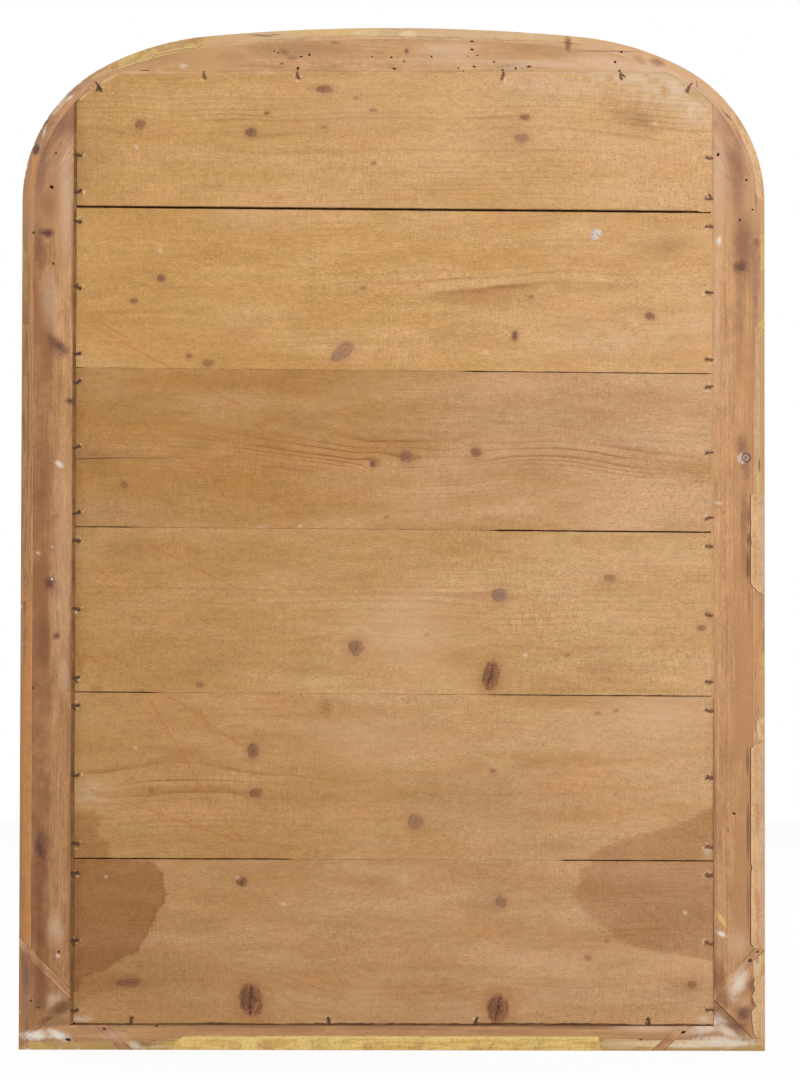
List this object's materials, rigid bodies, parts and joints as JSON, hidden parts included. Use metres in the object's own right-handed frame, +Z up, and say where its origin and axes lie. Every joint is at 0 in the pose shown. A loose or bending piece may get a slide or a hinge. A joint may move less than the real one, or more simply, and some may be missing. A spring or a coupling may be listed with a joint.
{
  "type": "mirror",
  "caption": "Arched mirror in a gilt moulded frame with a pearl slip, closed at the back with nailed pine boards and keyed mitres.",
  "frame": {"origin": "middle of the base, at half the depth, on the surface that the mirror stands on", "axes": "+Z up the mirror, +X to the right as seen from the front, -Y out of the glass towards the viewer, +Y out of the back"},
  "size_m": [1.04, 0.064, 1.43],
  "materials": {
    "carcass_pine": "old bare softwood, pinkish tan",
    "key_pine": "bare softwood",
    "board_pine": "old sawn pine, golden tan, knotty and stained",
    "gilding": "gold leaf on red bole and gesso over softwood, ochre at the back edge",
    "pearls": "gold leaf over composition",
    "glass": "old plate glass",
    "silvering": "silvered, backed with red-brown paint",
    "nail_iron": "dark rusted cut iron"
  },
  "bodies": {
    "root": {"carcass_stile_left": "carcass_pine", "carcass_stile_right": "carcass_pine", "carcass_corner_left": "carcass_pine", "carcass_corner_right": "carcass_pine", "carcass_shoulder_left": "carcass_pine", "carcass_shoulder_right": "carcass_pine", "carcass_crown": "carcass_pine", "carcass_bottom_rail": "carcass_pine", "crest_moulding_stile_left": "gilding", "crest_moulding_stile_right": "gilding", "crest_moulding_corner_left": "gilding", "crest_moulding_corner_right": "gilding", "crest_moulding_shoulder_left": "gilding", "crest_moulding_shoulder_right": "gilding", "crest_moulding_crown": "gilding", "crest_moulding_bottom_rail": "gilding", "ogee_moulding_stile_left": "gilding", "ogee_moulding_stile_right": "gilding", "ogee_moulding_corner_left": "gilding", "ogee_moulding_corner_right": "gilding", "ogee_moulding_shoulder_left": "gilding", "ogee_moulding_shoulder_right": "gilding", "ogee_moulding_crown": "gilding", "ogee_moulding_bottom_rail": "gilding", "pearl_slip_stile_left": "gilding", "pearl_slip_stile_right": "gilding", "pearl_slip_corner_left": "gilding", "pearl_slip_corner_right": "gilding", "pearl_slip_shoulder_left": "gilding", "pearl_slip_shoulder_right": "gilding", "pearl_slip_crown": "gilding", "pearl_slip_bottom_rail": "gilding", "mitre_key_left": "key_pine", "mitre_key_right": "key_pine", "loose_tongues": "key_pine", "mirror_glass": "glass", "silvering": "silvering", "glass_packers": "key_pine", "glazing_blocks": "key_pine", "pearls_left": "pearls", "pearls_right": "pearls", "pearls_crown": "pearls", "pearls_bottom": "pearls", "backboard_1": "board_pine", "backboard_2": "board_pine", "backboard_3": "board_pine", "backboard_4": "board_pine", "backboard_5": "board_pine", "backboard_6": "board_pine", "nails_left": "nail_iron", "nails_right": "nail_iron", "nails_top": "nail_iron", "nails_bottom": "nail_iron"}
  },
  "joints": []
}
